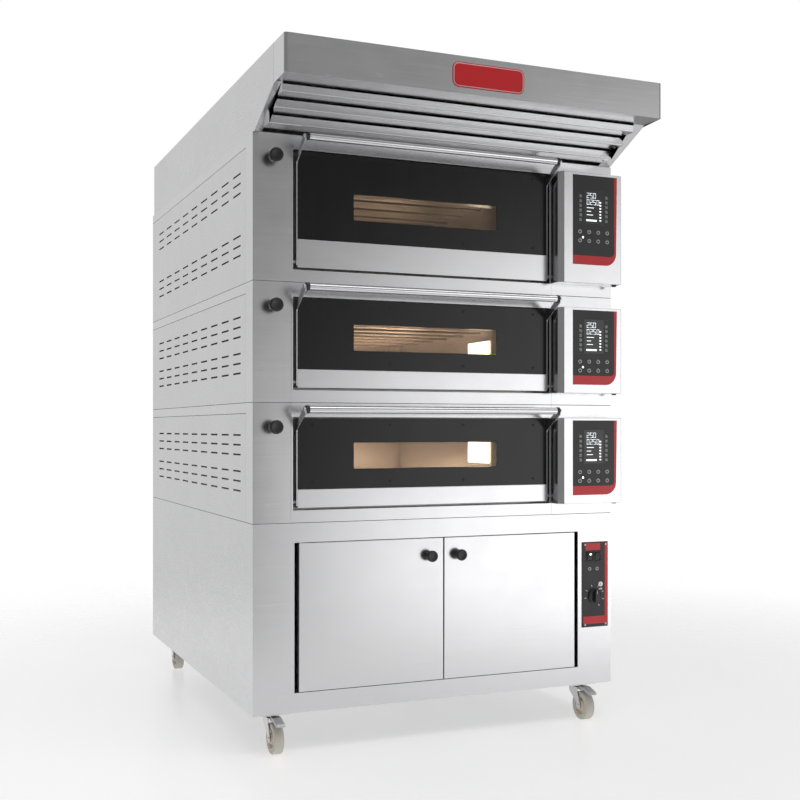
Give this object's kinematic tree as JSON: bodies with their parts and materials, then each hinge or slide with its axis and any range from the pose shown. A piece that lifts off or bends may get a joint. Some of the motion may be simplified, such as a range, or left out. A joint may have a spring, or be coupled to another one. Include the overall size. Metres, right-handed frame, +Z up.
{
  "type": "deck oven",
  "caption": "Electric bakery deck oven: stacked baking decks with drop-down glazed doors over a proving cabinet on castors, with an extraction hood above.",
  "frame": {"origin": "on the floor at the centre of the oven's footprint, the footprint running from the hood's front lip to the rear cable gland", "axes": "+X to the right seen from the front, +Y to the rear, +Z up; the doors face -Y"},
  "size_m": [1.385, 2.033, 2.326],
  "materials": {
    "stainless": "satin",
    "liner_steel": "satin",
    "frame_steel": "matte",
    "zinc_plated": "satin",
    "element_steel": "matte",
    "refractory": "matte",
    "mineral_wool": "matte",
    "seal_rope": "matte",
    "door_glass": "gloss",
    "lamp_glass": "satin",
    "black_plastic": "satin",
    "keypad_film": "satin",
    "control_red": "satin",
    "white_lens": "gloss",
    "circuit_board": "satin",
    "castor_tread": "matte",
    "cast_alloy": "satin"
  },
  "bodies": {
    "oven": {"baking_stones": "refractory", "base_frame": "frame_steel", "bottom_chamber": "liner_steel", "bottom_deck_frame": "stainless", "cable_gland": "black_plastic", "castor_plates": "zinc_plated", "chamber_lamps": "lamp_glass", "control_boards": "circuit_board", "control_housings": "stainless", "control_keypads": "keypad_film", "door_seals": "seal_rope", "flue_collar": "stainless", "heating_elements": "element_steel", "hinge_pins": "zinc_plated", "hood_fan_motor": "cast_alloy", "hood_shell": "stainless", "hood_slats": "stainless", "indicator_lens": "white_lens", "insulation": "mineral_wool", "middle_chamber": "liner_steel", "middle_deck_frame": "stainless", "prover_control_plate": "keypad_film", "prover_front_frame": "stainless", "prover_heater": "element_steel", "prover_liner": "liner_steel", "prover_switchgear": "black_plastic", "rear_panels": "stainless", "side_panels": "stainless", "steam_flue": "liner_steel", "top_chamber": "liner_steel", "top_deck_frame": "stainless", "tray_runners": "liner_steel"},
    "bottom_door": {"bottom_door_panel": "stainless", "bottom_door_glass": "door_glass", "bottom_door_handle": "stainless"},
    "bottom_damper": {"bottom_damper": "black_plastic"},
    "middle_door": {"middle_door_panel": "stainless", "middle_door_glass": "door_glass", "middle_door_handle": "stainless"},
    "middle_damper": {"middle_damper": "black_plastic"},
    "top_door": {"top_door_panel": "stainless", "top_door_glass": "door_glass", "top_door_handle": "stainless"},
    "top_damper": {"top_damper": "black_plastic"},
    "prover_door_left": {"prover_door_left": "stainless"},
    "prover_door_right": {"prover_door_right": "stainless"},
    "thermostat_knob": {"thermostat_knob": "black_plastic"},
    "rocker_left": {"rocker_left": "black_plastic"},
    "rocker_right": {"rocker_right": "black_plastic"},
    "hood_fan_wheel": {"hood_fan_wheel": "cast_alloy"},
    "front_left_castor_fork": {"front_left_fork": "zinc_plated"},
    "front_left_castor_wheel": {"front_left_wheel": "castor_tread"},
    "front_left_brake_pedal": {"front_left_pedal": "zinc_plated"},
    "front_right_castor_fork": {"front_right_fork": "zinc_plated"},
    "front_right_castor_wheel": {"front_right_wheel": "castor_tread"},
    "front_right_brake_pedal": {"front_right_pedal": "zinc_plated"},
    "rear_left_castor_fork": {"rear_left_fork": "zinc_plated"},
    "rear_left_castor_wheel": {"rear_left_wheel": "castor_tread"},
    "rear_right_castor_fork": {"rear_right_fork": "zinc_plated"},
    "rear_right_castor_wheel": {"rear_right_wheel": "castor_tread"}
  },
  "joints": [
    {"name": "bottom_door_hinge", "type": "hinge", "parent": "oven", "child": "bottom_door", "pos_m": [-0.063, -0.673, 0.835], "axis": [1, 0, 0], "range_deg": [0, 90], "stiffness_Nm_per_rad": 13},
    {"name": "bottom_damper_slide", "type": "slide", "parent": "oven", "child": "bottom_damper", "axis": [0, -1, 0], "range_m": [0, 0.06]},
    {"name": "middle_door_hinge", "type": "hinge", "parent": "oven", "child": "middle_door", "pos_m": [-0.063, -0.673, 1.237], "axis": [1, 0, 0], "range_deg": [0, 90], "stiffness_Nm_per_rad": 13},
    {"name": "middle_damper_slide", "type": "slide", "parent": "oven", "child": "middle_damper", "axis": [0, -1, 0], "range_m": [0, 0.06]},
    {"name": "top_door_hinge", "type": "hinge", "parent": "oven", "child": "top_door", "pos_m": [-0.063, -0.673, 1.639], "axis": [1, 0, 0], "range_deg": [0, 90], "stiffness_Nm_per_rad": 24},
    {"name": "top_damper_slide", "type": "slide", "parent": "oven", "child": "top_damper", "axis": [0, -1, 0], "range_m": [0, 0.06]},
    {"name": "prover_door_left_hinge", "type": "hinge", "parent": "oven", "child": "prover_door_left", "pos_m": [-0.527, -0.677, 0.449], "axis": [0, 0, -1], "range_deg": [0, 110]},
    {"name": "prover_door_right_hinge", "type": "hinge", "parent": "oven", "child": "prover_door_right", "pos_m": [0.527, -0.677, 0.449], "axis": [0, 0, 1], "range_deg": [0, 110]},
    {"name": "thermostat_turn", "type": "hinge", "parent": "oven", "child": "thermostat_knob", "pos_m": [0.6185, -0.695, 0.458], "axis": [0, 1, 0], "range_deg": [0, 270]},
    {"name": "rocker_left_tilt", "type": "hinge", "parent": "oven", "child": "rocker_left", "pos_m": [0.5985, -0.686, 0.606], "axis": [-1, 0, 0], "range_deg": [0, 16]},
    {"name": "rocker_right_tilt", "type": "hinge", "parent": "oven", "child": "rocker_right", "pos_m": [0.6305, -0.686, 0.606], "axis": [-1, 0, 0], "range_deg": [0, 16]},
    {"name": "hood_fan_spin", "type": "hinge", "parent": "oven", "child": "hood_fan_wheel", "pos_m": [0, 0.715, 2.18], "axis": [0, 0, 1], "continuous": true},
    {"name": "front_left_castor_swivel", "type": "hinge", "parent": "oven", "child": "front_left_castor_fork", "pos_m": [-0.6125, -0.637, 0.117], "axis": [0, 0, 1], "continuous": true},
    {"name": "front_left_wheel_spin", "type": "hinge", "parent": "front_left_castor_fork", "child": "front_left_castor_wheel", "pos_m": [-0.6125, -0.673, 0.052], "axis": [1, 0, 0], "continuous": true},
    {"name": "front_left_pedal_press", "type": "hinge", "parent": "front_left_castor_fork", "child": "front_left_brake_pedal", "pos_m": [-0.6125, -0.67, 0.114], "axis": [1, 0, 0], "range_deg": [0, 14]},
    {"name": "front_right_castor_swivel", "type": "hinge", "parent": "oven", "child": "front_right_castor_fork", "pos_m": [0.5805, -0.637, 0.117], "axis": [0, 0, 1], "continuous": true},
    {"name": "front_right_wheel_spin", "type": "hinge", "parent": "front_right_castor_fork", "child": "front_right_castor_wheel", "pos_m": [0.5805, -0.673, 0.052], "axis": [1, 0, 0], "continuous": true},
    {"name": "front_right_pedal_press", "type": "hinge", "parent": "front_right_castor_fork", "child": "front_right_brake_pedal", "pos_m": [0.5805, -0.67, 0.114], "axis": [1, 0, 0], "range_deg": [0, 14]},
    {"name": "rear_left_castor_swivel", "type": "hinge", "parent": "oven", "child": "rear_left_castor_fork", "pos_m": [-0.6125, 0.861, 0.117], "axis": [0, 0, 1], "continuous": true},
    {"name": "rear_left_wheel_spin", "type": "hinge", "parent": "rear_left_castor_fork", "child": "rear_left_castor_wheel", "pos_m": [-0.6125, 0.825, 0.052], "axis": [1, 0, 0], "continuous": true},
    {"name": "rear_right_castor_swivel", "type": "hinge", "parent": "oven", "child": "rear_right_castor_fork", "pos_m": [0.5805, 0.861, 0.117], "axis": [0, 0, 1], "continuous": true},
    {"name": "rear_right_wheel_spin", "type": "hinge", "parent": "rear_right_castor_fork", "child": "rear_right_castor_wheel", "pos_m": [0.5805, 0.825, 0.052], "axis": [1, 0, 0], "continuous": true}
  ]
}
